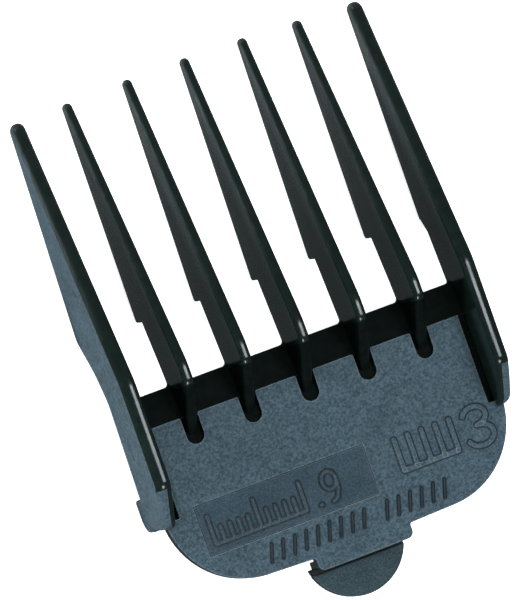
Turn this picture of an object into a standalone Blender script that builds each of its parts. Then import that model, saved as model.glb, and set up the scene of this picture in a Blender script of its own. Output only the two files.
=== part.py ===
"""Clipper guard comb: a clip-on hair clipper guard with seven comb teeth, a face plate and a flexing release tab.

The comb lies on its blade side, with its teeth pointing along +Y and the side that meets the scalp on top.
Inside this file, lengths are in millimetres from the datum: Y from the plate's rear edge and Z from the plane
that the clipper's blade lies on. The datum empty then stands the whole comb on Z = 0, centred on the origin.
"""

import math

import bmesh
import bpy

MM = 0.001
GAP = 0.3  # kept between neighbouring regions of the moulding

# Overall size
OUTER_WIDTH = 49.3  # over the side rails
TIP_Y = 64.9  # tip of the middle tooth
TAB_END_Y = -7.2  # rear end of the thumb disc
BOTTOM_Z = -5.5  # lowest points: the outer teeth's heels and the rear lugs

# Teeth
TOOTH_PITCH = 8.05
INNER_TEETH = 5
INNER_THICKNESS = 1.4
OUTER_THICKNESS = 2.0
OUTER_TIP_Y = 64.3
TIP_ARCH = 0.4  # how far the second tooth's tip lies behind the middle one's
RIDGE_Z = 8.3  # flat top of every tooth and rail
RIDGE_BEND_Y = 29.2  # the ridge starts to slope down here
RIDGE_DROP = 0.27  # fall of the ridge for each millimetre forward
HEEL_Y = 35.3  # step that stops the blade's front edge
HEEL_TOP_Z = -1.3
HEEL_BOTTOM_Z = -4.0
TIP_LOW_Z = -2.4
SIDE_TIP_FALL = 1.5  # the outermost inner teeth end this much lower than the others
TIP_ROUNDING = 0.38
TIP_THINNING = 0.8  # an inner tooth's thickness at its tip, as a share of the full one
TAIL_Y = 19.4  # rear end of an inner tooth, inside its notch
OUTER_DIP_Y = 31.2  # an outer tooth's lower edge bends down to its heel here
OUTER_DIP_Z = -2.5
LEDGE_ROOT_Z = -0.7  # an outer tooth's inner half ends higher than its outer one
LEDGE_REAR_Z = -1.5
LEDGE_FRONT_Z = -2.6
LEDGE_WIDTH = 0.9

# Crossbar
BAR_FRONT_Y = 26.6
BAR_FRONT_Z = 1.0
BAR_REAR_Z = 2.0

# Face plate
PLATE_FRONT_Y = 22.5
PLATE_TOP_Z = 2.5
PLATE_BOTTOM_Z = 0.9
FLOOR_Z = 1.4  # bottom of the notches and of the grooves beside the rails
PLATE_HALF_WIDTH = 23.6
PLATE_CORNER_R = 11.0
REAR_BOW = 0.2  # the rear edge's middle stands this far behind its ends
SHOULDER_Y = 9.5  # the plate is narrower ahead of this, between the rails
GROOVE_REAR_Y = 10.6
ISLAND_HALF_WIDTH = 21.7
NOTCH_HALF_WIDTH = 1.15
NOTCH_REAR_Y = 18.7

# Label panel, let into the plate
LABEL_CENTRE = (-7.7, 8.0)
LABEL_SIZE = (23.6, 6.6)
LABEL_THICKNESS = 0.5

# Side rails and rear lugs
RAIL_REAR_Y = 9.8
RAIL_SLOPE_Y = 15.5
RAIL_END_Z = 3.7
RAIL_BOTTOM_REAR_Z = -2.3
RAIL_BOTTOM_FRONT_Z = -0.95
LUG_REAR_Y = 9.6
LUG_FRONT_Y = 14.1
LUG_THICKNESS = 1.5

# Release tab
TAB_REAR_Y = -2.0
NECK_WIDTH = 13.3
NECK_CORNER_R = 1.0
WALL_WIDTH = 12.8
WALL_THICKNESS = 1.1
DISC_TOP_Z = -2.3
DISC_THICKNESS = 1.4
DISC_R = 6.85
LIP_WIDTH = 10.0
LIP_TOP_Z = -1.2
LIP_DEPTH = 0.5
HINGE_Y = -0.35
HINGE_Z = 1.7

ARC_STEPS = 5
CORNER_STEPS = 16
EDGE_ROUNDING = 0.25

RAIL_FRONT_Y = BAR_FRONT_Y + GAP / 2
OUTER_ROOT_Y = RAIL_FRONT_Y + GAP
RAIL_INNER_X = OUTER_WIDTH / 2 - OUTER_THICKNESS
RAIL_MID_X = (OUTER_WIDTH - OUTER_THICKNESS) / 2

PLASTIC = {
    "grained_black": ((0.055, 0.065, 0.075, 1.0), 0.55),
    "polished_black": ((0.012, 0.014, 0.014, 1.0), 0.22),
    "label_black": ((0.05, 0.06, 0.07, 1.0), 0.5),
}


def clear_scene():
    for thing in list(bpy.data.objects):
        bpy.data.objects.remove(thing, do_unlink=True)
    for group in list(bpy.data.collections):
        bpy.data.collections.remove(group)


def new_collection(name):
    group = bpy.data.collections.new(name)
    bpy.context.scene.collection.children.link(group)
    return group


def plastic(node, kind):
    """One material for one node: black moulded plastic, grained or polished."""
    colour, roughness = PLASTIC[kind]
    material = bpy.data.materials.new(f"{node}_{kind}")
    material.use_nodes = True
    shader = material.node_tree.nodes["Principled BSDF"]
    shader.inputs["Base Color"].default_value = colour
    shader.inputs["Roughness"].default_value = roughness
    shader.inputs["Metallic"].default_value = 0.0
    return material


def rounded(corners):
    """A closed outline through (x, y, radius) corners, given anticlockwise, with an arc at each rounded one."""
    points = []
    count = len(corners)
    for i, (x, y, radius) in enumerate(corners):
        if radius <= 0:
            points.append((x, y))
            continue
        before = unit(corners[i - 1][0] - x, corners[i - 1][1] - y)
        after = unit(corners[(i + 1) % count][0] - x, corners[(i + 1) % count][1] - y)
        half = math.acos(before[0] * after[0] + before[1] * after[1]) / 2
        reach = radius / math.tan(half)
        middle = unit(before[0] + after[0], before[1] + after[1])
        centre = (x + middle[0] * radius / math.sin(half), y + middle[1] * radius / math.sin(half))
        first = math.atan2(y + before[1] * reach - centre[1], x + before[0] * reach - centre[0])
        last = math.atan2(y + after[1] * reach - centre[1], x + after[0] * reach - centre[0])
        turn = (last - first + math.pi) % (2 * math.pi) - math.pi
        for k in range(ARC_STEPS + 1):
            angle = first + turn * k / ARC_STEPS
            points.append((centre[0] + radius * math.cos(angle), centre[1] + radius * math.sin(angle)))
    return points


def unit(x, y):
    length = math.hypot(x, y)
    return x / length, y / length


def prism(name, outline, thickness, place, upright=False):
    """A flat outline made solid, as a mesh. An upright one lies in the YZ plane and is thick along X."""
    curve = bpy.data.curves.new(name, "CURVE")
    curve.dimensions = "2D"
    curve.fill_mode = "BOTH"
    curve.extrude = thickness / 2 * MM
    spline = curve.splines.new("POLY")
    spline.points.add(len(outline) - 1)
    for point, (x, y) in zip(spline.points, outline):
        point.co = (x * MM, y * MM, 0.0, 1.0)
    spline.use_cyclic_u = True
    guide = bpy.data.objects.new(name + "_outline", curve)
    bpy.context.scene.collection.objects.link(guide)
    graph = bpy.context.evaluated_depsgraph_get()
    mesh = bpy.data.meshes.new_from_object(guide.evaluated_get(graph))
    mesh.name = name
    bpy.data.objects.remove(guide, do_unlink=True)
    model = bmesh.new()
    model.from_mesh(mesh)
    bmesh.ops.remove_doubles(model, verts=model.verts, dist=1e-6)
    bmesh.ops.recalc_face_normals(model, faces=model.faces)
    model.to_mesh(mesh)
    model.free()
    made = bpy.data.objects.new(name, mesh)
    made.location = [value * MM for value in place]
    if upright:
        made.rotation_euler = (math.pi / 2, 0.0, math.pi / 2)
    return made


def block(name, low, high):
    """A box between two corners, in millimetres."""
    model = bmesh.new()
    bmesh.ops.create_cube(model, size=1.0)
    for vertex in model.verts:
        vertex.co = [
            ((low[k] + high[k]) / 2 + vertex.co[k] * (high[k] - low[k])) * MM for k in range(3)
        ]
    mesh = bpy.data.meshes.new(name)
    model.to_mesh(mesh)
    model.free()
    return bpy.data.objects.new(name, mesh)


def soften(part, width=EDGE_ROUNDING, segments=2):
    """Rounds a part's sharp edges, as a moulding's are."""
    bevel = part.modifiers.new("soft_edges", "BEVEL")
    bevel.width = width * MM
    bevel.segments = segments
    bevel.limit_method = "ANGLE"
    bevel.angle_limit = math.radians(50)


def thin(part, start_y, end_y, share):
    """Makes an upright part's thickness fall evenly to a share of itself, between two places along Y."""
    for vertex in part.data.vertices:
        along = (vertex.co.x / MM - start_y) / (end_y - start_y)
        vertex.co.z *= 1 - (1 - share) * min(1.0, max(0.0, along))


def cut(part, cutter, cutters, parent):
    """Takes the cutter's shape out of a part."""
    cutter.parent = parent
    cutter.hide_render = True
    cutter.display_type = "WIRE"
    cutters.objects.link(cutter)
    boolean = part.modifiers.new(cutter.name, "BOOLEAN")
    boolean.operation = "DIFFERENCE"
    boolean.object = cutter
    boolean.solver = "EXACT"


def finish(part, kind, parts, parent):
    """Puts a finished part in the comb's collection, under its datum, with its own plastic."""
    part.data.materials.clear()
    part.data.materials.append(plastic(part.name, kind))
    for polygon in part.data.polygons:
        polygon.use_smooth = True
    part.data.set_sharp_from_angle(angle=math.radians(35))
    part.parent = parent
    parts.objects.link(part)


def ridge_z(y):
    """Height of the teeth's flat top, which slopes down to the tip ahead of its bend."""
    return RIDGE_Z - RIDGE_DROP * max(0.0, y - RIDGE_BEND_Y)


def inner_tooth_outline(tip_y, fall):
    """Side view of an inner tooth: tail in the notch, ridge, tip lowered by fall, and the heel that stops the blade."""
    tip_top = ridge_z(tip_y) - fall
    heel_fall = fall * (HEEL_Y - RIDGE_BEND_Y) / (tip_y - RIDGE_BEND_Y)
    return rounded(
        [
            (TAIL_Y, PLATE_BOTTOM_Z, 0),
            (BAR_FRONT_Y + GAP, PLATE_BOTTOM_Z, 0),
            (BAR_FRONT_Y + GAP, 0.0, 0),
            (HEEL_Y, HEEL_TOP_Z, 0),
            (HEEL_Y, HEEL_BOTTOM_Z - heel_fall, 0.5),
            (tip_y, TIP_LOW_Z - fall, TIP_ROUNDING),
            (tip_y, tip_top, TIP_ROUNDING),
            (RIDGE_BEND_Y, RIDGE_Z, 3.0),
            (BAR_FRONT_Y, RIDGE_Z, 0.8),
            (TAIL_Y, PLATE_BOTTOM_Z + 0.6, 0.4),
        ]
    )


def outer_tooth_outline():
    """Side view of an outer tooth, whose lower edge dips to its heel in one sweep."""
    return rounded(
        [
            (OUTER_ROOT_Y, RAIL_BOTTOM_FRONT_Z, 0),
            (OUTER_DIP_Y, OUTER_DIP_Z, 5.0),
            (HEEL_Y + 0.6, BOTTOM_Z, 1.0),
            (OUTER_TIP_Y, TIP_LOW_Z, TIP_ROUNDING),
            (OUTER_TIP_Y, ridge_z(OUTER_TIP_Y), TIP_ROUNDING),
            (RIDGE_BEND_Y, RIDGE_Z, 3.0),
            (OUTER_ROOT_Y, RIDGE_Z, 0),
        ]
    )


def ledge_outline():
    """Side view of what is cut from an outer tooth's inner half, to leave its lower edge higher there."""
    below = BOTTOM_Z - 1.0
    return [
        (OUTER_ROOT_Y - 1.0, below),
        (OUTER_TIP_Y - 1.5, below),
        (OUTER_TIP_Y - 1.5, TIP_LOW_Z + 0.1),
        (HEEL_Y, LEDGE_FRONT_Z),
        (HEEL_Y, LEDGE_REAR_Z),
        (OUTER_ROOT_Y - 1.0, LEDGE_ROOT_Z),
    ]


def rail_outline():
    """Side view of a rail: its ridge ends in a slope and a rounded rear end."""
    return rounded(
        [
            (RAIL_REAR_Y, RAIL_BOTTOM_REAR_Z, 0.6),
            (RAIL_FRONT_Y, RAIL_BOTTOM_FRONT_Z, 0),
            (RAIL_FRONT_Y, RIDGE_Z, 0),
            (RAIL_SLOPE_Y, RIDGE_Z, 0.8),
            (RAIL_REAR_Y + 0.4, RAIL_END_Z, 2.0),
            (RAIL_REAR_Y, PLATE_BOTTOM_Z, 1.0),
        ]
    )


def lug_outline():
    """Side view of a rear lug, which guides the blade's side."""
    top = RAIL_BOTTOM_REAR_Z - GAP
    return rounded(
        [
            (LUG_REAR_Y, BOTTOM_Z, 1.2),
            (LUG_FRONT_Y, BOTTOM_Z, 0.5),
            (LUG_FRONT_Y, top, 0),
            (LUG_REAR_Y, top, 0),
        ]
    )


def plate_floor_outline():
    """Outline of the plate's full depth: wide and rounded behind the rails, narrower between them."""
    half = RAIL_INNER_X - GAP
    centre_x = PLATE_HALF_WIDTH - PLATE_CORNER_R
    first = -math.pi / 2
    last = math.asin((SHOULDER_Y - PLATE_CORNER_R) / PLATE_CORNER_R)
    corner = []
    for k in range(CORNER_STEPS + 1):
        angle = first + (last - first) * k / CORNER_STEPS
        x = centre_x + PLATE_CORNER_R * math.cos(angle)
        corner.append((x, PLATE_CORNER_R * (1 + math.sin(angle))))
    right = [*corner, (half, SHOULDER_Y), (half, PLATE_FRONT_Y)]
    return [(0.0, -REAR_BOW), *right, *[(-x, y) for x, y in reversed(right)]]


def slot_outline(x, front_y, rear_y, half):
    """A slot with a round rear end."""
    return rounded(
        [
            (x - half, rear_y, half * 0.98),
            (x + half, rear_y, half * 0.98),
            (x + half, front_y, 0),
            (x - half, front_y, 0),
        ]
    )


def tooth_places():
    """Each inner tooth's number and X, from left to right."""
    for number in range(1, INNER_TEETH + 1):
        yield number, (number - (INNER_TEETH + 1) / 2) * TOOTH_PITCH


def make_plate(parts, cutters, datum):
    plate = prism(
        "base_plate",
        plate_floor_outline(),
        PLATE_TOP_Z - PLATE_BOTTOM_Z,
        (0, 0, (PLATE_TOP_Z + PLATE_BOTTOM_Z) / 2),
    )
    depth = PLATE_TOP_Z - FLOOR_Z + 1.0
    middle = FLOOR_Z + depth / 2
    for number, x in tooth_places():
        outline = slot_outline(x, PLATE_FRONT_Y + 1.0, NOTCH_REAR_Y, NOTCH_HALF_WIDTH)
        notch = prism(f"notch_cutter_{number}", outline, depth, (0, 0, middle))
        cut(plate, notch, cutters, datum)
        well = block(
            f"tail_cutter_{number}",
            (x - INNER_THICKNESS / 2 - GAP, TAIL_Y - GAP, PLATE_BOTTOM_Z - 1.0),
            (x + INNER_THICKNESS / 2 + GAP, PLATE_FRONT_Y + 1.0, PLATE_TOP_Z),
        )
        cut(plate, well, cutters, datum)
    for side, name in ((-1, "left"), (1, "right")):
        inner, outer = sorted((side * ISLAND_HALF_WIDTH, side * (RAIL_INNER_X + 1.0)))
        groove = block(
            f"groove_cutter_{name}",
            (inner, GROOVE_REAR_Y, FLOOR_Z),
            (outer, PLATE_FRONT_Y + 1.0, PLATE_TOP_Z + 1.0),
        )
        cut(plate, groove, cutters, datum)
    x, y = LABEL_CENTRE
    wide, deep = LABEL_SIZE
    pocket = block(
        "label_cutter",
        (x - wide / 2 - GAP, y - deep / 2 - GAP, PLATE_TOP_Z - LABEL_THICKNESS - GAP),
        (x + wide / 2 + GAP, y + deep / 2 + GAP, PLATE_TOP_Z + 1.0),
    )
    cut(plate, pocket, cutters, datum)
    finish(plate, "grained_black", parts, datum)
    panel = block(
        "label_panel",
        (x - wide / 2, y - deep / 2, PLATE_TOP_Z - LABEL_THICKNESS),
        (x + wide / 2, y + deep / 2, PLATE_TOP_Z),
    )
    finish(panel, "label_black", parts, datum)


def make_crossbar(parts, cutters, datum):
    """The bar that carries the tooth roots. Its top ramps down from the plate to its front edge."""
    rear = PLATE_FRONT_Y + GAP
    outline = [
        (rear, 0.0),
        (BAR_FRONT_Y, 0.0),
        (BAR_FRONT_Y, BAR_FRONT_Z),
        (rear, BAR_REAR_Z),
    ]
    bar = prism("crossbar", outline, 2 * (RAIL_INNER_X - GAP), (0, 0, 0), upright=True)
    for number, x in tooth_places():
        slot = block(
            f"root_cutter_{number}",
            (x - INNER_THICKNESS / 2 - GAP, rear - 1.0, PLATE_BOTTOM_Z - GAP),
            (x + INNER_THICKNESS / 2 + GAP, BAR_FRONT_Y + 1.0, BAR_REAR_Z + 1.0),
        )
        cut(bar, slot, cutters, datum)
    finish(bar, "polished_black", parts, datum)


def make_teeth(parts, datum):
    """The inner teeth. Their tips lie on a shallow arch."""
    for number, x in tooth_places():
        name = f"inner_tooth_{number}"
        tip_y = TIP_Y - TIP_ARCH * (x / TOOTH_PITCH / 2) ** 2
        fall = SIDE_TIP_FALL if number in (1, INNER_TEETH) else 0.0
        tooth = prism(name, inner_tooth_outline(tip_y, fall), INNER_THICKNESS, (x, 0, 0), upright=True)
        thin(tooth, RIDGE_BEND_Y, tip_y, TIP_THINNING)
        soften(tooth, 0.4)
        finish(tooth, "polished_black", parts, datum)


def make_sides(parts, cutters, datum):
    for side, name in ((-1, "left"), (1, "right")):
        x = side * RAIL_MID_X
        tooth = prism(f"outer_tooth_{name}", outer_tooth_outline(), OUTER_THICKNESS, (x, 0, 0), True)
        soften(tooth, 0.5)
        inner_x = side * (RAIL_INNER_X - OUTER_THICKNESS / 2 + LEDGE_WIDTH)
        ledge = prism(f"ledge_cutter_{name}", ledge_outline(), OUTER_THICKNESS, (inner_x, 0, 0), True)
        cut(tooth, ledge, cutters, datum)
        finish(tooth, "grained_black", parts, datum)
        rail = prism(f"side_rail_{name}", rail_outline(), OUTER_THICKNESS, (x, 0, 0), upright=True)
        soften(rail, 0.5)
        finish(rail, "grained_black", parts, datum)
        lug = prism(f"rear_lug_{name}", lug_outline(), LUG_THICKNESS, (x, 0, 0), upright=True)
        soften(lug)
        finish(lug, "grained_black", parts, datum)


def half_disc_outline(front_y):
    """Thumb disc seen from above: a round rear end on a straight front edge."""
    centre_y = TAB_END_Y + DISC_R
    start = math.asin((front_y - centre_y) / DISC_R)
    steps = 24
    turn = -math.pi - 2 * start
    return [
        (DISC_R * math.cos(start + turn * k / steps), centre_y + DISC_R * math.sin(start + turn * k / steps))
        for k in range(steps + 1)
    ]


def neck_outline():
    """The neck seen from above, with round rear corners."""
    half = NECK_WIDTH / 2
    front = -REAR_BOW - GAP
    return rounded(
        [
            (-half, TAB_REAR_Y, NECK_CORNER_R),
            (half, TAB_REAR_Y, NECK_CORNER_R),
            (half, front, 0),
            (-half, front, 0),
        ]
    )


def make_tab(parts, datum):
    """The latch behind the plate: neck, hook wall, catch lip and thumb disc, which turn together."""
    pivot = bpy.data.objects.new("tab_pivot", None)
    pivot.location = (0.0, HINGE_Y * MM, HINGE_Z * MM)
    pivot.parent = datum
    parts.objects.link(pivot)
    wall_front = TAB_REAR_Y + WALL_THICKNESS

    def from_pivot(low, high):
        offset = (0.0, HINGE_Y, HINGE_Z)
        return [[corner[k] - offset[k] for k in range(3)] for corner in (low, high)]

    neck = prism(
        "tab_neck",
        neck_outline(),
        PLATE_TOP_Z - PLATE_BOTTOM_Z,
        (0.0, -HINGE_Y, (PLATE_TOP_Z + PLATE_BOTTOM_Z) / 2 - HINGE_Z),
    )
    wall = block(
        "hook_wall",
        *from_pivot(
            (-WALL_WIDTH / 2, TAB_REAR_Y, DISC_TOP_Z + GAP),
            (WALL_WIDTH / 2, wall_front, PLATE_BOTTOM_Z - GAP),
        ),
    )
    lip = block(
        "catch_lip",
        *from_pivot(
            (-LIP_WIDTH / 2, wall_front + GAP, DISC_TOP_Z - DISC_THICKNESS),
            (LIP_WIDTH / 2, wall_front + GAP + LIP_DEPTH, LIP_TOP_Z),
        ),
    )
    disc = prism(
        "thumb_disc",
        half_disc_outline(wall_front),
        DISC_THICKNESS,
        (0.0, -HINGE_Y, DISC_TOP_Z - DISC_THICKNESS / 2 - HINGE_Z),
    )
    for piece, width in ((neck, 0.4), (wall, 0.2), (lip, 0.15), (disc, 0.3)):
        soften(piece, width)
        finish(piece, "grained_black", parts, pivot)


def main():
    clear_scene()
    parts = new_collection("clipper_guard_comb")
    cutters = new_collection("cutters")
    datum = bpy.data.objects.new("datum", None)
    datum.location = (0.0, -(TIP_Y + TAB_END_Y) / 2 * MM, -BOTTOM_Z * MM)
    parts.objects.link(datum)
    make_plate(parts, cutters, datum)
    make_crossbar(parts, cutters, datum)
    make_teeth(parts, datum)
    make_sides(parts, cutters, datum)
    make_tab(parts, datum)


main()
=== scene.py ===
"""Looks of the clipper guard comb: its visible moulding, plastics, light and camera over the CAD frame."""
import math

import bmesh
import bpy
from mathutils import Matrix, Vector

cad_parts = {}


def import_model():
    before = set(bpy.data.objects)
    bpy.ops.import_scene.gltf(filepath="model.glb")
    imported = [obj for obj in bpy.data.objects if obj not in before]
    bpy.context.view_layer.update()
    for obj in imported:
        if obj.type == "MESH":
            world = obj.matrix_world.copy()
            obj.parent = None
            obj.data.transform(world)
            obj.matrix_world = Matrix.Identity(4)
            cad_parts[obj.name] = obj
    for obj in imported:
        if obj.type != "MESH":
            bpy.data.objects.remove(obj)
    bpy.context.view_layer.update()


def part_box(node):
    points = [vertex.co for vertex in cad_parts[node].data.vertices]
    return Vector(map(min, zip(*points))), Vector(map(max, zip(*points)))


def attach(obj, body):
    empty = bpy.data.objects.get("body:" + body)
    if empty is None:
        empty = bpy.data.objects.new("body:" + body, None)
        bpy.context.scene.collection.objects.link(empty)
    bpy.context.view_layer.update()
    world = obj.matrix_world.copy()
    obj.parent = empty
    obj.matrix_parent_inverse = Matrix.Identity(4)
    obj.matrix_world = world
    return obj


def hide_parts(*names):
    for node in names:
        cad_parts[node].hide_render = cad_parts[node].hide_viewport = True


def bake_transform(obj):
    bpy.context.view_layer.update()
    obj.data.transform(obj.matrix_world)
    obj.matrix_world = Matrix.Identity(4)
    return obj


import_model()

# Lengths are in millimetres from the CAD source's datum: Y from the plate's rear edge and Z from the
# blade's plane.
MM = 0.001
PLATE_BOTTOM = 0.9
PLATE_TOP = 2.5
FLOOR_TOP = 1.4
REAR_BOW = 0.2  # the plate's rear edge reaches this far behind the datum
plate_low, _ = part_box("base_plate")
CENTRE_Y = -REAR_BOW - plate_low.y / MM
RAISE_Z = plate_low.z / MM - PLATE_BOTTOM

PITCH_X = 8.05  # from tooth to tooth
INNER_X = 22.65  # inner faces of the rails
OUTER_T = 2.0  # thickness of a rail and its tooth
TIP_Y = 64.9
TIP_ARCH = 0.4  # the first and last inner teeth end this much earlier than the middle one
OUTER_TIP_Y = 64.3
RIDGE_Z = 8.3
RIDGE_BEND = 29.2  # where the ridges turn down
RIDGE_DROP = 0.27  # how far they then fall for each millimetre forward
SIDE_DROP = 0.042  # the outermost inner teeth fall this much more for each millimetre forward
HEEL_Y = 35.3  # the step in each tooth that stops the blade's edge
BAR_FRONT = 26.6
BAR_REAR = 22.3
PLATE_FRONT = 22.5


def place(x, y, z):
    return (x * MM, (y - CENTRE_Y) * MM, (z + RAISE_Z) * MM)


# ---------------------------------------------------------------- plastics

NOISE_SPAN = (0.3, 0.7)  # the values that nearly all of a noise texture lies between
SPECKLE_SPAN = (0.36, 0.64)
CLOUD_SCALE = 190.0
PATCH_SCALE = 420.0
SHEEN_STREAK_SCALE = 2600.0
GRAIN_DEPTH = 0.03  # millimetres
EDGE_LIGHT_RADIUS = 0.28  # millimetres
# colour of the painted shade in crevices and at the feet of walls
CREVICE_SHADE_COLOUR = (0.004, 0.007, 0.009, 1.0)
# lighter edge colour: partly wear, partly painted highlight on rims
WORN_AND_LIT_EDGE_COLOUR = (0.22, 0.27, 0.30, 1.0)
# colour of the painted sheen on the teeth's sides
TIP_SHEEN_COLOUR = (0.056, 0.067, 0.071, 1.0)
SHEEN_START_Y = 34.0
SHEEN_FULL_Y = 60.0


def nodes_of(name):
    material = bpy.data.materials.new(name)
    material.use_nodes = True
    tree = material.node_tree
    return material, tree, tree.nodes["Principled BSDF"]


def noise(tree, coords, scale, detail=3.0, roughness=0.55):
    node = tree.nodes.new("ShaderNodeTexNoise")
    node.inputs["Scale"].default_value = scale
    node.inputs["Detail"].default_value = detail
    node.inputs["Roughness"].default_value = roughness
    tree.links.new(coords, node.inputs["Vector"])
    return node.outputs["Fac"]


def ranged(tree, value, low, high, out_low, out_high):
    node = tree.nodes.new("ShaderNodeMapRange")
    for key, number in zip(("From Min", "From Max", "To Min", "To Max"), (low, high, out_low, out_high)):
        node.inputs[key].default_value = number
    tree.links.new(value, node.inputs["Value"])
    return node.outputs["Result"]


def mixed(tree, factor, first, second, mode="MIX"):
    node = tree.nodes.new("ShaderNodeMix")
    node.data_type = "RGBA"
    node.blend_type = mode
    for key, value in ((0, factor), (6, first), (7, second)):
        if isinstance(value, (tuple, float)):
            node.inputs[key].default_value = value
        else:
            tree.links.new(value, node.inputs[key])
    return node.outputs[2]


def times(tree, first, second):
    node = tree.nodes.new("ShaderNodeMath")
    node.operation = "MULTIPLY"
    tree.links.new(first, node.inputs[0])
    tree.links.new(second, node.inputs[1])
    return node.outputs["Value"]


def parts_of(tree, vector):
    node = tree.nodes.new("ShaderNodeSeparateXYZ")
    tree.links.new(vector, node.inputs["Vector"])
    return node.outputs


def surface_normal(tree):
    return tree.nodes.new("ShaderNodeNewGeometry").outputs["Normal"]


def painted_tip_sheen(tree, coords, colour):
    """Painted reflection: fine lighter streaks of sheen along the teeth's side faces, which grow towards
    their tips and stay off their ridges.
    """
    stretch = tree.nodes.new("ShaderNodeMapping")
    stretch.inputs["Scale"].default_value = (1.0, 0.06, 1.0)
    tree.links.new(coords, stretch.inputs["Vector"])
    streaks = noise(tree, stretch.outputs["Vector"], SHEEN_STREAK_SCALE, 4.0, 0.6)
    streaks = ranged(tree, streaks, *NOISE_SPAN, 0.35, 1.0)
    start, full = (place(0, y, 0)[1] for y in (SHEEN_START_Y, SHEEN_FULL_Y))
    grown = ranged(tree, parts_of(tree, coords)["Y"], start, full, 0.0, 1.0)
    on_sides = ranged(tree, parts_of(tree, surface_normal(tree))["Z"], 0.45, 0.95, 1.0, 0.04)
    return mixed(tree, times(tree, times(tree, streaks, grown), on_sides), colour, TIP_SHEEN_COLOUR)


def speckled(tree, coords, fine, dark, light):
    """A fine speckle between two colours, under broad clouds of a slightly different brightness."""
    speckle = mixed(tree, ranged(tree, fine, *SPECKLE_SPAN, 0.0, 1.0), (*dark, 1.0), (*light, 1.0))
    level = ranged(tree, noise(tree, coords, CLOUD_SCALE, 6.0, 0.75), *NOISE_SPAN, 0.82, 1.18)
    cloud = tree.nodes.new("ShaderNodeCombineColor")
    for channel in range(3):
        tree.links.new(level, cloud.inputs[channel])
    return mixed(tree, 1.0, speckle, cloud.outputs["Color"], "MULTIPLY")


def painted_crevice_shade(tree, colour, amount, reach):
    """Painted shade: darker crevices and feet of walls, as far from a corner as reach in millimetres."""
    occlusion = tree.nodes.new("ShaderNodeAmbientOcclusion")
    occlusion.inputs["Distance"].default_value = reach * MM
    occlusion.samples = 8
    shade_share = ranged(tree, occlusion.outputs["AO"], 0.5, 0.95, amount, 0.0)
    return mixed(tree, shade_share, colour, CREVICE_SHADE_COLOUR)


def worn_and_lit_edges(tree, colour, amount):
    """Lighter edges, partly wear and partly painted highlight on rounded rims, found by how far a bevelled
    normal turns from the surface's own.
    """
    turned = tree.nodes.new("ShaderNodeBevel")
    turned.samples = 6
    turned.inputs["Radius"].default_value = EDGE_LIGHT_RADIUS * MM
    facing = tree.nodes.new("ShaderNodeVectorMath")
    facing.operation = "DOT_PRODUCT"
    tree.links.new(turned.outputs["Normal"], facing.inputs[0])
    tree.links.new(surface_normal(tree), facing.inputs[1])
    edge_share = ranged(tree, facing.outputs["Value"], 0.80, 0.985, amount, 0.0)
    return mixed(tree, edge_share, colour, WORN_AND_LIT_EDGE_COLOUR)


# edge sets how much lighter the edges are painted, partly as wear and partly as painted highlight
def plastic(name, dark, light, roughness, uneven, grain, bump, edge, crevice_shade=0.0, reach=0.45, tip_sheen=False,
            specular=0.5):
    """Moulded plastic: speckled colour, uneven gloss, grain, lighter edges that are partly wear and partly
    painted highlight, painted shade in crevices and, if asked, a painted sheen on the teeth's sides.
    """
    material, tree, shader = nodes_of(name)
    coords = tree.nodes.new("ShaderNodeTexCoord").outputs["Object"]
    fine = noise(tree, coords, grain, 4.0, 0.62)
    colour = speckled(tree, coords, fine, dark, light)
    if crevice_shade:
        colour = painted_crevice_shade(tree, colour, crevice_shade, reach)
    colour = worn_and_lit_edges(tree, colour, edge)
    if tip_sheen:
        colour = painted_tip_sheen(tree, coords, colour)
    tree.links.new(colour, shader.inputs["Base Color"])
    patches = noise(tree, coords, PATCH_SCALE, 5.0)
    gloss = ranged(tree, patches, *NOISE_SPAN, roughness - uneven, roughness + uneven)
    tree.links.new(gloss, shader.inputs["Roughness"])
    height = tree.nodes.new("ShaderNodeBump")
    height.inputs["Strength"].default_value = bump
    height.inputs["Distance"].default_value = GRAIN_DEPTH * MM
    tree.links.new(fine, height.inputs["Height"])
    tree.links.new(height.outputs["Normal"], shader.inputs["Normal"])
    shader.inputs["Specular IOR Level"].default_value = specular
    return material


# crevice_shade and reach paint shade: on the grained plate the rails' soft shadow, on the thumb pad the shade
# behind the neck
GRAINED = plastic("grained_plastic", dark=(0.016, 0.033, 0.044), light=(0.053, 0.083, 0.103), roughness=0.6,
                  uneven=0.08, grain=3300.0, bump=0.9, edge=0.9, crevice_shade=0.85, reach=2.4, specular=0.22)
SMOOTH = plastic("panel_plastic", dark=(0.013, 0.026, 0.036), light=(0.030, 0.053, 0.069), roughness=0.55,
                 uneven=0.06, grain=4600.0, bump=0.6, edge=0.25, crevice_shade=0.7, specular=0.22)
PAD = plastic("pad_plastic", dark=(0.012, 0.024, 0.030), light=(0.032, 0.052, 0.062), roughness=0.6,
              uneven=0.08, grain=3800.0, bump=1.0, edge=0.3, crevice_shade=0.9, reach=1.6, specular=0.2)
# its tip_sheen paints a reflection on the teeth's side faces
POLISHED = plastic("polished_plastic", dark=(0.0028, 0.0065, 0.0055), light=(0.0045, 0.0095, 0.008),
                   roughness=0.2, uneven=0.04, grain=900.0, bump=0.03, edge=0.05, tip_sheen=True)
# a darker, less glossy copy of the polished plastic: painted shade for parts deep in shade
SHADED_PLASTIC = plastic("shaded_plastic", dark=(0.0012, 0.0026, 0.0022), light=(0.0022, 0.0042, 0.0036), roughness=0.3,
               uneven=0.05, grain=900.0, bump=0.03, edge=0.02, specular=0.12)
# dark plastic for painted shade at the marks' edges and in the ribs
MARK_SHADE = plastic("mark_shade_plastic", dark=(0.004, 0.008, 0.011), light=(0.009, 0.015, 0.019), roughness=0.4,
               uneven=0.05, grain=3800.0, bump=0.4, edge=0.05, specular=0.25)


# ---------------------------------------------------------------- mesh tools

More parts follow.
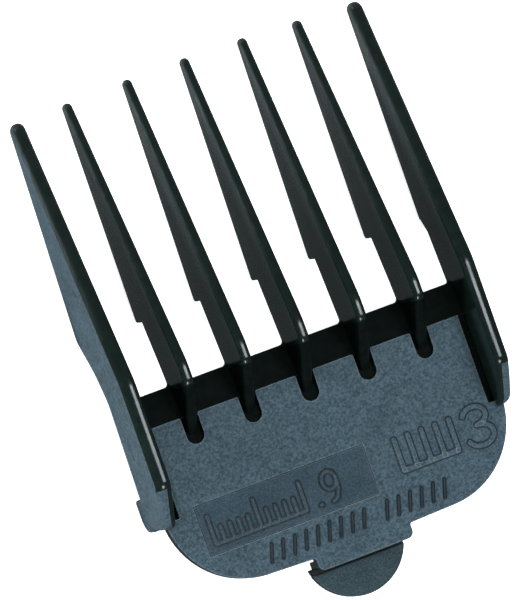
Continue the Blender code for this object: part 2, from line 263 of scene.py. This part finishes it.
SHARP_ANGLE = 38.0  # degrees
WALL_TILT = 0.35  # a face is an upright wall if its normal's Z is smaller than this


def shade(mesh, sharp=SHARP_ANGLE):
    """Joins a mesh's loose faces, turns them outwards and makes them smooth, except over its sharp edges."""
    model = bmesh.new()
    model.from_mesh(mesh)
    bmesh.ops.remove_doubles(model, verts=model.verts, dist=1e-7)
    bmesh.ops.recalc_face_normals(model, faces=model.faces)
    model.to_mesh(mesh)
    model.free()
    for polygon in mesh.polygons:
        square_on = max(abs(value) for value in polygon.normal) > 0.99999
        polygon.use_smooth = not (square_on and len(polygon.vertices) > 4)
    mesh.set_sharp_from_angle(angle=math.radians(sharp))


def piece(name, points, faces, materials, indices=None, sharp=SHARP_ANGLE):
    """A shown mesh in the row frame."""
    mesh = bpy.data.meshes.new(name)
    mesh.from_pydata([place(*p) for p in points], [], faces)
    for material in materials:
        mesh.materials.append(material)
    if indices:
        mesh.polygons.foreach_set("material_index", indices)
    shade(mesh, sharp)
    made = bpy.data.objects.new(name, mesh)
    bpy.context.scene.collection.objects.link(made)
    return made


def flat_shading(made):
    """Keeps the flat faces of a piece looking flat beside its rounded edges."""
    weighted = made.modifiers.new("flat_faces", "WEIGHTED_NORMAL")
    weighted.keep_sharp = True
    weighted.weight = 80
    return made


def rounded_edges(made, width, segments=3, angle=35.0):
    bevel = made.modifiers.new("edges", "BEVEL")
    bevel.width = width * MM
    bevel.segments = segments
    bevel.limit_method = "ANGLE"
    bevel.angle_limit = math.radians(angle)
    return made


def settle(made):
    """Applies a piece's modifiers to its mesh."""
    graph = bpy.context.evaluated_depsgraph_get()
    mesh = bpy.data.meshes.new_from_object(made.evaluated_get(graph))
    made.modifiers.clear()
    made.data = mesh
    shade(mesh)


def polished_walls(made):
    """Gives a grained piece the polished finish of the mould's parting faces on its upright walls."""
    settle(made)
    made.data.materials.append(POLISHED)
    wall = len(made.data.materials) - 1
    for polygon in made.data.polygons:
        if abs(polygon.normal.z) < WALL_TILT:
            polygon.material_index = wall
    return flat_shading(made)


def show(made, body, *nodes):
    """Puts a piece on its body, in place of the CAD nodes named."""
    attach(made, body)
    if nodes:
        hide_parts(*nodes)


def loft(name, rings, materials, paint):
    """Skins closed rings of points, with a face across each end. paint(row, column) is a face's material."""
    count = len(rings[0])
    points = [p for ring in rings for p in ring]
    faces = []
    indices = []
    for row in range(len(rings) - 1):
        for column in range(count):
            after = (column + 1) % count
            low, high = row * count, (row + 1) * count
            faces.append((low + column, low + after, high + after, high + column))
            indices.append(paint(row, column))
    faces += [tuple(range(count)), tuple(range(len(points) - count, len(points)))]
    indices += [0, 0]
    return flat_shading(piece(name, points, faces, materials, indices))


def prism_faces(count):
    """Faces of a prism whose points are one end's outline and then the other's."""
    ends = [tuple(range(count)), tuple(range(count, 2 * count))]
    return ends + [(k, (k + 1) % count, count + (k + 1) % count, count + k) for k in range(count)]


def thick_outline(name, outline, low, high, materials):
    """An outline in the XY plane made thick between two heights. high may be a function of Y."""
    top = high if callable(high) else lambda y: high
    points = [(x, y, low) for x, y in outline] + [(x, y, top(y)) for x, y in outline]
    return piece(name, points, prism_faces(len(outline)), materials)


def slab(name, outline, low, high, materials, width=0.0, segments=3):
    """A thick outline in the XY plane, with rounded edges if a width is given."""
    made = thick_outline(name, outline, low, high, materials)
    if width:
        rounded_edges(made, width, segments)
    return flat_shading(made)


def upright(name, outline, x0, x1, materials, width):
    """An outline in the YZ plane made thick along X, with rounded edges."""
    points = [(x, y, z) for x in (x0, x1) for y, z in outline]
    made = piece(name, points, prism_faces(len(outline)), materials)
    return flat_shading(rounded_edges(made, width))


def rectangle(x0, y0, x1, y1):
    return [(x0, y0), (x1, y0), (x1, y1), (x0, y1)]


def arc(cx, cy, rx, ry, first, last, steps):
    """Points on an ellipse's arc. Angles in degrees."""
    turn = [math.radians(first + (last - first) * k / steps) for k in range(steps + 1)]
    return [(cx + rx * math.cos(a), cy + ry * math.sin(a)) for a in turn]


def soft(distance, width):
    """Zero behind a corner and the distance past it ahead, rounded over a width on both sides."""
    if abs(distance) < width:
        return (distance + width) ** 2 / (4 * width)
    return max(0.0, distance)


def line(y, start, height, slope, *bends):
    """A bent line's height at y. Each bend is (place, change of slope, rounding)."""
    return height + slope * (y - start) + sum(change * soft(y - at, width) for at, change, width in bends)


def stations(*spans):
    """Stations along Y from (first, last, count) spans."""
    places = {round(a + (b - a) * k / n, 4) for a, b, n in spans for k in range(n + 1)}
    return sorted(places)


def tip_stations(end, length):
    """Stations that crowd towards a rounded tip, past the one where its rounding starts."""
    return [end - length * (1 - math.sin(math.radians(a))) for a in range(10, 91, 10)]


def closing(left, length):
    """How far a rounded end has closed, from 0 at its start to 1 at its end, with some length left to go."""
    share = min(1.0, max(0.0, 1 - left / length))
    return 1 - math.sqrt(max(0.0, 1 - share * share))


# ---------------------------------------------------------------- inner teeth

TAIL_Y = 19.5  # a tooth's rear end, inside its notch in the plate
TAIL_Z = 1.35
TIP_ROUND = 0.62  # length of a rounded tip
TIP_CLOSING = 0.86  # share of a section that the rounding takes away at the very tip
HALF_THICK = 0.72  # half a tooth's thickness at its tail
HALF_TAPER = 0.14  # how much of that is gone at the tip
BED_Z = 0.06  # lower edge over the blade, behind the heel
BED_SLOPE = 0.16
HEEL_Z = -4.0  # lower edge ahead of the heel
HEEL_SLOPE = 0.054
HEEL_RADIUS = 0.5
LEAST_HEIGHT = 0.3
SHADED_END_Y = 26.2  # a tooth is in the crossbar's deep shade behind here


def tooth_edges(y, extra):
    """Upper and lower edge of an inner tooth at y. extra is the slope added ahead of the ridge's bend."""
    rise = (RIDGE_Z - TAIL_Z) / (BAR_FRONT - TAIL_Y)
    top = line(y, TAIL_Y, TAIL_Z, rise, (BAR_FRONT, -rise, 0.5), (RIDGE_BEND, -RIDGE_DROP - extra, 0.8))
    fall = extra * max(0.0, y - RIDGE_BEND)
    if y < HEEL_Y:
        low = BED_Z - BED_SLOPE * soft(y - BAR_FRONT, 0.2) - fall
    else:
        corner = max(0.0, 1 - (y - HEEL_Y) / HEEL_RADIUS)
        low = HEEL_Z + HEEL_SLOPE * (y - HEEL_Y) - fall + HEEL_RADIUS * (1 - math.sqrt(1 - corner ** 2))
    return top, min(low, top - LEAST_HEIGHT)


def tooth_section(half, top, low):
    """A tooth's section as (x, z) points, with a round ridge and small corners below."""
    tall = top - low
    high_r = min(0.5, half * 0.78, tall * 0.45)
    low_r = min(0.2, half * 0.6, tall * 0.4)
    ring = arc(half - high_r, top - high_r, high_r, high_r, 0, 90, 5)
    ring += arc(high_r - half, top - high_r, high_r, high_r, 90, 180, 5)
    ring += arc(low_r - half, low + low_r, low_r, low_r, 180, 270, 3)
    ring += arc(half - low_r, low + low_r, low_r, low_r, 270, 360, 3)
    return ring


def inner_tooth(number):
    step = number - 3
    middle_x = step * PITCH_X
    tip = TIP_Y - TIP_ARCH * (step / 2) ** 2
    extra = SIDE_DROP if abs(step) == 2 else 0.0
    ys = stations((TAIL_Y, 25.9, 6), (25.9, 27.3, 10), (27.3, 28.4, 1), (28.4, 30.0, 10),
                  (30.0, HEEL_Y - 0.02, 3), (HEEL_Y + 0.02, HEEL_Y + 0.55, 6),
                  (HEEL_Y + 0.55, tip - TIP_ROUND, 6))
    ys += tip_stations(tip, TIP_ROUND)
    rings = []
    for y in ys:
        top, low = tooth_edges(y, extra)
        shut = TIP_CLOSING * closing(tip - y, TIP_ROUND)
        half = (HALF_THICK - HALF_TAPER * (y - TAIL_Y) / (tip - TAIL_Y)) * (1 - shut)
        inset = (top - low) / 2 * shut
        rings.append([(middle_x + x, y, z) for x, z in tooth_section(half, top - inset, low + inset)])
    # faces behind SHADED_END_Y take the darker plastic: painted shade
    made = loft(f"tooth_{number}", rings, [POLISHED, SHADED_PLASTIC], lambda row, column: int(ys[row] < SHADED_END_Y))
    show(made, "comb", f"inner_tooth_{number}")


# ---------------------------------------------------------------- rails with their outer teeth

RAIL_REAR_Y = 9.8
RAIL_REAR_Z = 3.8  # where the rear slope starts
SLOPE_TOP_Y = 15.5  # where it meets the ridge
SIDE_ROUND = 1.0  # length of the rounding at the rear end and at the tip
SKIRT_Z = -2.3  # lower edge of the outer face
SKIRT_SLOPE = 0.08
SKIRT_BENDS = ((27.0, -0.43, 1.2), (31.2, -0.37, 1.6), (35.6, 0.83, 0.6))
LEDGE_REAR_Y = 26.6  # the inner face has a lower edge of its own ahead of this
INNER_CORNER, CROWN, OUTER_FACE = 4, 13, 18  # where a section's inner corner, crown and outer face end


def side_edges(y):
    """Ridge, lower edge of the outer face and lower edge of the inner face at y."""
    rise = (RIDGE_Z - RAIL_REAR_Z) / (SLOPE_TOP_Y - RAIL_REAR_Y - 0.3)
    top = line(y, SLOPE_TOP_Y, RIDGE_Z, rise, (SLOPE_TOP_Y, -rise, 0.5), (RIDGE_BEND, -RIDGE_DROP, 0.8))
    low = line(y, RAIL_REAR_Y, SKIRT_Z, SKIRT_SLOPE, *SKIRT_BENDS)
    ledge = low
    if y > LEDGE_REAR_Y:
        ledge = -0.5 - 0.1 * (y - 27.0) if y < HEEL_Y else -2.7 + 0.012 * (y - HEEL_Y)
    return top, low, max(ledge, low + 0.05)


def side_section(y):
    """A section across a rail or its tooth as (t, z) points. t runs from the inner face outwards."""
    top, low, ledge = side_edges(y)
    forward = max(0.0, y - RIDGE_BEND) / (OUTER_TIP_Y - RIDGE_BEND)
    rear_shut = closing(y - RAIL_REAR_Y, SIDE_ROUND)
    tip_shut = closing(OUTER_TIP_Y - y, SIDE_ROUND)
    thinned = 0.28 * max(0.0, 1 - (y - RAIL_REAR_Y) / 4.0) ** 2  # over the rearmost 4 mm
    thick = OUTER_T - 0.12 * forward - 0.75 * rear_shut - thinned
    top -= 1.2 * rear_shut
    low += 0.6 * rear_shut
    ledge = max(ledge, low + 0.04)
    near = thick * 0.42 * tip_shut
    far = thick - near
    inset = (top - low) / 2 * 0.8 * tip_shut
    top -= inset
    low += inset
    tall = top - low
    wide = far - near
    ledge = min(max(ledge, low + 0.02), top - 0.5 * tall)
    crown = min(1.0, max(0.0, (y - SLOPE_TOP_Y + 0.5) / 1.5))
    r_in = min(0.75 - 0.13 * crown, wide * 0.38, tall * 0.4)
    r_out = min(1.0 - 0.45 * forward, wide * 0.5, tall * 0.48)
    r_low = min(0.3, wide * 0.2, tall * 0.3)
    r_ledge = r_low / 2
    step = near + min(0.9, wide * 0.45)
    ring = arc(near + r_in, top - r_in, r_in, r_in, 180, 90, 4)
    ring += arc(far - r_out, top - r_out, r_out, r_out, 90, 0, 8)
    ring += arc(far - r_low, low + r_low, r_low, r_low, 0, -90, 4)
    ring += [(step, low), (step, ledge)]
    ring += arc(near + r_ledge, ledge + r_ledge, r_ledge, r_ledge, 270, 180, 3)
    return ring


def side(sign, name):
    """A side rail and its outer tooth in one sweep."""
    ys = [RAIL_REAR_Y + SIDE_ROUND * (1 - math.cos(math.radians(a))) for a in range(0, 90, 9)]
    ys += stations((RAIL_REAR_Y + 1.05, 14.9, 5), (14.9, 16.1, 10), (16.1, 26.5, 4), (26.5, 28.3, 5),
                   (28.3, 30.1, 10), (30.1, 33.0, 8), (33.0, 34.9, 2), (34.9, HEEL_Y - 0.02, 2),
                   (HEEL_Y + 0.02, 36.6, 8), (36.6, OUTER_TIP_Y - SIDE_ROUND, 8))
    ys += tip_stations(OUTER_TIP_Y, SIDE_ROUND)
    rings = [[(sign * (INNER_X + t), y, z) for t, z in side_section(y)] for y in ys]

    def paint(row, column):
        """0 for the grained outer face and rear slope, 1 for the polished rest."""
        if column < CROWN:
            return 1 if ys[row] > SLOPE_TOP_Y - 0.5 or column < INNER_CORNER else 0
        return 0 if column < OUTER_FACE else 1

    made = loft(f"side_{name}", rings, [GRAINED, POLISHED], paint)
    show(made, "comb", f"side_rail_{name}", f"outer_tooth_{name}")


def lug(sign, name):
    outline = [(14.1, -1.85), (9.75, -1.85)]
    outline += arc(11.6, -3.65, 1.85, 1.85, 180, 270, 8)
    outline += arc(13.6, -5.0, 0.5, 0.5, 270, 360, 4)
    inner, outer = sorted((sign * (INNER_X + 0.25), sign * (INNER_X + 1.75)))
    made = upright(f"lug_{name}", outline, inner, outer, [GRAINED], 0.3)
    show(made, "comb", f"rear_lug_{name}")


# ---------------------------------------------------------------- crossbar

BAR_TOP = 2.0  # at the plate's front
BAR_SLOPE = 0.25
BAR_FILLET = 0.5
BAR_OVERLAP = 0.2  # how far the bar reaches into the teeth and rails
ROOT_HALF = 0.68  # half a tooth's thickness at the bar


def fillet_front():
    """Front edge of the crossbar from left to right, with a fillet at each tooth."""
    sides = [(-INNER_X - 0.3, -INNER_X)]
    sides += [(PITCH_X * (n - 3) - ROOT_HALF, PITCH_X * (n - 3) + ROOT_HALF) for n in range(1, 6)]
    sides += [(INNER_X, INNER_X + 0.3)]
    fillet_y = BAR_FRONT + BAR_FILLET
    edge = []
    for (_, left), (right, _) in zip(sides, sides[1:]):
        edge += [(left - BAR_OVERLAP, fillet_y)]
        edge += arc(left + BAR_FILLET, fillet_y, BAR_FILLET, BAR_FILLET, 180, 270, 5)
        edge += arc(right - BAR_FILLET, fillet_y, BAR_FILLET, BAR_FILLET, 270, 360, 5)
        edge += [(right + BAR_OVERLAP, fillet_y)]
    return edge


def crossbar():
    rear = [(INNER_X + BAR_OVERLAP, BAR_REAR), (-INNER_X - BAR_OVERLAP, BAR_REAR)]
    # the crossbar's darker plastic is painted shade
    made = slab("crossbar_moulding", rear + fillet_front(), 0.0,
                lambda y: BAR_TOP - BAR_SLOPE * (y - PLATE_FRONT), [SHADED_PLASTIC], 0.1, 2)
    show(made, "comb", "crossbar")


# ---------------------------------------------------------------- plate

CORNER_RADIUS = 11.0
CORNER_X = 23.7  # the plate's half width
SHOULDER_Y = 10.2  # where the plate's corner meets the rail
NOTCH_RADIUS = 1.15
NOTCH_REAR_Y = 18.7
NOTCH_MOUTH = 0.25  # rounding of a notch's open end
NECK_HALF = 6.65
NECK_REAR_Y = -2.0
NECK_RADIUS = 0.9
NECK_FLARE = 0.15
LABEL_LEFT, LABEL_REAR, LABEL_RIGHT, LABEL_FRONT = -19.5, 4.7, 4.1, 11.3
LABEL_GAP = 0.03
POCKET_DEPTH = 0.3
BEND_CUTS = 7  # extra edges across the neck, so that it bends smoothly
BEND_PITCH = 0.17
PLATE_INSET = 0.05  # how far the floor under the notches stays inside the plate
RAMP_REAR_Y = 17.8
RAMP_TOP = 2.25
RAMP_SLOPE = 0.26


def corner_arc(shoulder_y):
    """The plate's right rear corner, from its rear edge to the shoulder behind the rail."""
    last = math.degrees(math.asin((shoulder_y - CORNER_RADIUS) / CORNER_RADIUS))
    return arc(CORNER_X - CORNER_RADIUS, CORNER_RADIUS, CORNER_RADIUS, CORNER_RADIUS, -90, last, 26)


def plate_outline():
    """The neck's and plate's outline, with a notch behind each inner tooth."""
    right = arc(NECK_HALF - NECK_RADIUS, NECK_REAR_Y + NECK_RADIUS, NECK_RADIUS, NECK_RADIUS, -90, 0, 6)
    right += [(NECK_HALF, -REAR_BOW - NECK_FLARE), (NECK_HALF + NECK_FLARE, -REAR_BOW)]
    right += [p for p in corner_arc(SHOULDER_Y) if p[0] > CORNER_X - CORNER_RADIUS]
    right += [(INNER_X + 0.25, SHOULDER_Y), (INNER_X + 0.25, SHOULDER_Y + 0.4)]
    right += [(21.7, SHOULDER_Y + 0.4), (21.7, PLATE_FRONT)]
    front = []
    mouth_y = PLATE_FRONT - NOTCH_MOUTH
    for number in (5, 4, 3, 2, 1):
        x = PITCH_X * (number - 3)
        reach = NOTCH_RADIUS + NOTCH_MOUTH
        front += arc(x + reach, mouth_y, NOTCH_MOUTH, NOTCH_MOUTH, 90, 180, 3)
        front += arc(x, NOTCH_REAR_Y + NOTCH_RADIUS, NOTCH_RADIUS, NOTCH_RADIUS, 0, -180, 12)
        front += arc(x - reach, mouth_y, NOTCH_MOUTH, NOTCH_MOUTH, 0, 90, 3)
    left = [(-x, y) for x, y in reversed(right)]
    return right + front + left


def add_bend_edges(made):
    """Cuts edges across the neck where it leaves the plate."""
    model = bmesh.new()
    model.from_mesh(made.data)
    for k in range(BEND_CUTS):
        cut_y = place(0, -REAR_BOW - BEND_PITCH * k, 0)[1]
        bmesh.ops.bisect_plane(model, geom=model.verts[:] + model.edges[:] + model.faces[:],
                               plane_co=(0, cut_y, 0), plane_no=(0, 1, 0))
    model.to_mesh(made.data)
    model.free()


def face_plate():
    """The grained plate and the release tab's neck, with extra edges cut across the neck where it leaves the
    plate.
    """
    made = thick_outline("face_plate", plate_outline(), PLATE_BOTTOM, PLATE_TOP, [GRAINED])
    field = rectangle(LABEL_LEFT - LABEL_GAP, LABEL_REAR - LABEL_GAP,
                      LABEL_RIGHT + LABEL_GAP, LABEL_FRONT + LABEL_GAP)
    cutter = slab("pocket_cutter", field, PLATE_TOP - POCKET_DEPTH, PLATE_TOP + 1.0, [GRAINED])
    pocket = made.modifiers.new("pocket", "BOOLEAN")
    pocket.object = cutter
    pocket.solver = "EXACT"
    pocket.operation = "DIFFERENCE"
    rounded_edges(made, 0.12, 3, 40.0)
    settle(made)
    bpy.data.objects.remove(cutter, do_unlink=True)
    add_bend_edges(made)
    polished_walls(made)
    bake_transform(made)
    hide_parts("base_plate", "tab_neck")


def label_insert():
    outline = rectangle(LABEL_LEFT, LABEL_REAR, LABEL_RIGHT, LABEL_FRONT)
    panel = slab("label_insert", outline, PLATE_TOP - 0.5, PLATE_TOP - 0.02, [SMOOTH], 0.03, 2)
    show(panel, "comb", "label_panel")


def plate_floor():
    """The floor that shows in the notches, dark as painted shade."""
    shoulder_y = 9.4
    right = [*corner_arc(shoulder_y), (INNER_X + 0.1, shoulder_y), (INNER_X + 0.1, PLATE_FRONT)]
    right = [(x - PLATE_INSET, y + PLATE_INSET) for x, y in right]
    left = [(-x, y) for x, y in reversed(right)]
    outline = [(PLATE_INSET, 0.3 + PLATE_INSET)] + right + left
    show(slab("plate_floor", outline, PLATE_BOTTOM + 0.04, FLOOR_TOP, [SHADED_PLASTIC]), "comb")


def notch_ramp():
    """The notches' sloping floor, highest at its rear."""
    outline = rectangle(-INNER_X - 0.1, RAMP_REAR_Y, INNER_X + 0.1, PLATE_FRONT)
    # its darker plastic is painted shade
    made = slab("notch_ramp", outline, PLATE_BOTTOM + 0.02,
                lambda y: RAMP_TOP - RAMP_SLOPE * (y - RAMP_REAR_Y), [SHADED_PLASTIC])
    show(made, "comb")


# ---------------------------------------------------------------- marks

STROKE_SECTION = [(-1, -0.5), (-0.98, 0.35), (-0.86, 0.8), (-0.6, 1.0),
                  (0.6, 1.0), (0.86, 0.8), (0.98, 0.35), (1, -0.5)]
STROKE_LIFT = 0.003  # each stroke is this much higher than the last, so that crossing tops share no plane
PANEL_TOP = PLATE_TOP - 0.02


def stroke_cap(end, sense, width):
    """A stroke's round end, from its tip inwards."""
    x, y, _, (dx, dy) = end
    turns = [math.radians(a) for a in (86, 60, 30)]
    steps = [(sense * width / 2 * math.sin(a), math.cos(a)) for a in turns]
    return [(x + dx * step, y + dy * step, share, (dx, dy)) for step, share in steps]


def stroke_stations(path, width):
    """Stations along a stroke: place, share of the full width, and direction."""
    middle = []
    for k, (x, y) in enumerate(path):
        before, after = path[max(0, k - 1)], path[min(len(path) - 1, k + 1)]
        dx, dy = after[0] - before[0], after[1] - before[1]
        length = math.hypot(dx, dy)
        middle.append((x, y, 1.0, (dx / length, dy / length)))
    return stroke_cap(middle[0], -1, width) + middle + stroke_cap(middle[-1], 1, width)[::-1]


def sweep(paths, name, width, height, material, base):
    """Raised flat-topped strokes along paths in the XY plane, with round ends, in one mesh."""
    points = []
    faces = []
    count = len(STROKE_SECTION)
    for number, path in enumerate(paths):
        start = len(points)
        whole = stroke_stations(path, width)
        for x, y, share, (dx, dy) in whole:
            tall = (height + STROKE_LIFT * number) * (0.55 + 0.45 * share)
            for across, up in STROKE_SECTION:
                aside = across * width / 2 * share
                points.append((x - dy * aside, y + dx * aside, base + up * tall))
        for row in range(len(whole) - 1):
            for column in range(count):
                after = (column + 1) % count
                a, b = start + row * count, start + (row + 1) * count
                faces.append((a + column, a + after, b + after, b + column))
        faces.append(tuple(range(start, start + count)))
        faces.append(tuple(range(start + (len(whole) - 1) * count, start + len(whole) * count)))
    made = flat_shading(piece(name, points, faces, [material], sharp=60.0))
    show(made, "comb")


def three(x, y, wide, tall):
    """The strokes of a 3 whose lower left corner is (x, y)."""
    upper, lower = tall * 0.47, tall * 0.53
    return [arc(x + wide * 0.46, y + tall - upper / 2, wide * 0.44, upper / 2, 160, -90, 14),
            arc(x + wide * 0.48, y + lower / 2, wide * 0.5, lower / 2, 90, -160, 16)]


def nine(x, y, wide, tall):
    """The strokes of a 9 whose lower left corner is (x, y)."""
    bowl = arc(x + wide / 2, y + tall * 0.7, wide / 2, tall * 0.3, -20, 330, 16)
    stem = [(x + wide, y + tall * 0.7), (x + wide * 0.97, y + tall * 0.35),
            (x + wide * 0.72, y + tall * 0.08), (x + wide * 0.4, y)]
    return [bowl, stem]


def small_comb(x, y, pitch, tall):
    """A pictogram of a comb with five teeth."""
    bar = [(x, y), (x + 4 * pitch, y)]
    return [bar] + [[(x + pitch * k, y), (x + pitch * k, y + tall)] for k in range(5)]


def ruled_scale(x, y, pitch, short, long):
    """A ruled line with ten divisions, the first, middle and last marked by longer ticks."""
    base = [(x, y), (x + 10 * pitch, y)]
    ticks = [(x + pitch * k, long if k % 5 == 0 else short) for k in range(11)]
    return [base] + [[(at, y), (at, y + tall)] for at, tall in ticks]


def marks():
    """Generic marks: the number 3 beside a small comb, a ruled scale with .9, and grip ribs above the tab.
    Wider dark strokes under the marks paint the shade along their edges, and the ribs' dark plastic is
    painted shade.
    """
    size_mark = small_comb(8.2, 6.3, 1.925, 4.1) + three(17.6, 5.8, 3.6, 5.1)
    # a wider dark stroke under each mark paints the shade along its edges
    sweep(size_mark, "size_mark_shade", 1.0, 0.05, MARK_SHADE, PLATE_TOP)
    sweep(size_mark, "size_mark", 0.66, 0.16, GRAINED, PLATE_TOP)
    point = [[(-3.6, 5.9), (-3.45, 5.9)]]
    scale_mark = ruled_scale(-18.3, 5.9, 1.27, 2.0, 3.7) + point + nine(-2.6, 5.8, 1.9, 3.9)
    sweep(scale_mark, "scale_mark_shade", 0.86, 0.05, MARK_SHADE, PANEL_TOP)
    sweep(scale_mark, "scale_mark", 0.38, 0.12, SMOOTH, PANEL_TOP)
    ribs = [[(-12.2 + 1.62 * k, 1.3), (-11.5 + 1.62 * k, 3.5)] for k in range(16) if k != 9]
    sweep(ribs, "tab_ribs", 0.5, 0.12, MARK_SHADE, PLATE_TOP)


# ---------------------------------------------------------------- release tab

PAD_REAR_Y = -7.2
PAD_RADIUS = 6.85
WALL_FRONT_Y, WALL_REAR_Y = -0.9, -1.92
WALL_LOW, WALL_HIGH = -3.6, 1.2  # from beside the thumb pad up into the neck
LIP_OUTLINE = [(-1.0, -3.65), (-0.1, -3.65), (-0.1, -1.9), (-0.35, -1.25), (-1.0, -1.2)]


def half_disc(name, front, radius, low, high, material, width):
    """A flat disc of the thumb flange, cut off straight along its front."""
    centre = PAD_REAR_Y + PAD_RADIUS
    start = math.degrees(math.asin((front - centre) / radius))
    outline = arc(0, centre, radius, radius, start, -180 - start, 40)
    return polished_walls(slab(name, outline, low, high, [material], width, 4))


def tab():
    show(half_disc("thumb_pad", -2.5, PAD_RADIUS, -3.7, -2.3, PAD, 0.3), "release_tab", "thumb_disc")
    # a dark ledge behind the neck: painted shade for the shadow there
    show(half_disc("pad_shade_ledge", -1.8, PAD_RADIUS - 0.1, -3.66, -2.6, SHADED_PLASTIC, 0.1), "release_tab")
    outline = [(WALL_FRONT_Y, WALL_LOW), (WALL_FRONT_Y, WALL_HIGH),
               (WALL_REAR_Y, WALL_HIGH), (WALL_REAR_Y, WALL_LOW)]
    show(upright("hook_moulding", outline, -6.0, 6.0, [POLISHED], 0.15), "release_tab", "hook_wall")
    show(upright("catch_moulding", LIP_OUTLINE, -5.0, 5.0, [POLISHED], 0.12), "release_tab", "catch_lip")


for number in range(1, 6):
    inner_tooth(number)
for sign, name in ((-1, "left"), (1, "right")):
    side(sign, name)
    lug(sign, name)
crossbar()
face_plate()
label_insert()
plate_floor()
notch_ramp()
marks()
tab()


# ---------------------------------------------------------------- floor, light and camera

FLOOR_HALF = 3.0  # metres
PHOTO_HEIGHT = 600.0  # picture points


def floor():
    """A white sheet that glows, so that it stays white where the lights don't reach."""
    material, tree, shader = nodes_of("floor_paint")
    coords = tree.nodes.new("ShaderNodeTexCoord").outputs["Object"]
    mottle = ranged(tree, noise(tree, coords, 3.0, 2.0), *NOISE_SPAN, 0.0, 1.0)
    colour = mixed(tree, mottle, (0.90, 0.90, 0.90, 1.0), (0.93, 0.93, 0.93, 1.0))
    tree.links.new(colour, shader.inputs["Base Color"])
    shader.inputs["Roughness"].default_value = 0.9
    shader.inputs["Specular IOR Level"].default_value = 0.0
    shader.inputs["Emission Color"].default_value = (1.0, 1.0, 1.0, 1.0)
    shader.inputs["Emission Strength"].default_value = 0.8
    mesh = bpy.data.meshes.new("floor")
    corners = rectangle(-FLOOR_HALF, -FLOOR_HALF, FLOOR_HALF, FLOOR_HALF)
    mesh.from_pydata([(x, y, 0) for x, y in corners], [], [(0, 1, 2, 3)])
    mesh.materials.append(material)
    made = bpy.data.objects.new("floor", mesh)
    made.visible_glossy = False
    bpy.context.scene.collection.objects.link(made)


def softbox(name, direction, distance, size, power, mirrored=True, colour=(1.0, 1.0, 1.0)):
    """A round light that faces the object. One that isn't mirrored stays out of the plastic's reflections."""
    light = bpy.data.lights.new(name, "AREA")
    light.shape = "DISK"
    light.size = size
    light.energy = power
    light.color = colour
    made = bpy.data.objects.new(name, light)
    towards = Vector(direction).normalized()
    made.location = towards * distance
    made.rotation_euler = towards.to_track_quat("Z", "Y").to_euler()
    made.visible_glossy = mirrored
    bpy.context.scene.collection.objects.link(made)


def world():
    sky = bpy.data.worlds.new("studio")
    sky.use_nodes = True
    background = sky.node_tree.nodes["Background"]
    background.inputs["Color"].default_value = (0.82, 0.95, 1.0, 1.0)
    background.inputs["Strength"].default_value = 0.10
    bpy.context.scene.world = sky


def camera():
    """The photograph's viewpoint: a long lens, looking down and a little from the left."""
    yaw, pitch, roll = (math.radians(v) for v in (15.81, 2.82, -19.46))
    distance, scale = 1300.0, 7.906  # millimetres, and picture points for each millimetre at the object
    shift_x, shift_y = 24.4, 24.7  # picture points from the picture's centre to the object, right and down
    back = Vector((-math.sin(yaw) * math.cos(pitch), math.sin(pitch), math.cos(yaw) * math.cos(pitch)))
    up = Vector((0, 1, 0))
    up = (up - back * up.dot(back)).normalized()
    right = up.cross(back)
    rolled_right = math.cos(roll) * right + math.sin(roll) * up
    rolled_up = math.cos(roll) * up - math.sin(roll) * right
    spot = Vector((0, 0, 8)) + back * distance
    spot += rolled_up * shift_y / scale - rolled_right * shift_x / scale
    data = bpy.data.cameras.new("camera")
    data.sensor_width = 36.0
    data.lens = scale * distance / PHOTO_HEIGHT * data.sensor_width
    data.clip_start = 0.1
    data.clip_end = 10.0
    made = bpy.data.objects.new("camera", data)
    bpy.context.scene.collection.objects.link(made)
    turn = Matrix((rolled_right, rolled_up, back)).transposed().to_4x4()
    made.matrix_world = Matrix.Translation(spot * MM) @ turn
    bpy.context.scene.camera = made


floor()
softbox("key", (0.27, -0.01, 0.96), 0.8, 0.2, 1.3, True, (0.86, 0.93, 1.0))
softbox("top", (0.0, 0.05, 1.0), 0.8, 0.4, 3.9, False)
softbox("right", (0.56, -0.06, 0.83), 0.8, 0.26, 2.3, False)
softbox("left", (-0.97, 0.12, 0.18), 0.8, 0.4, 8.6, False)
softbox("front", (-0.1, -0.8, 0.6), 0.9, 0.4, 4.0)
softbox("far", (-0.1, 0.8, 0.6), 0.9, 0.4, 0.6)
world()
camera()
bpy.context.scene.view_settings.view_transform = "Standard"
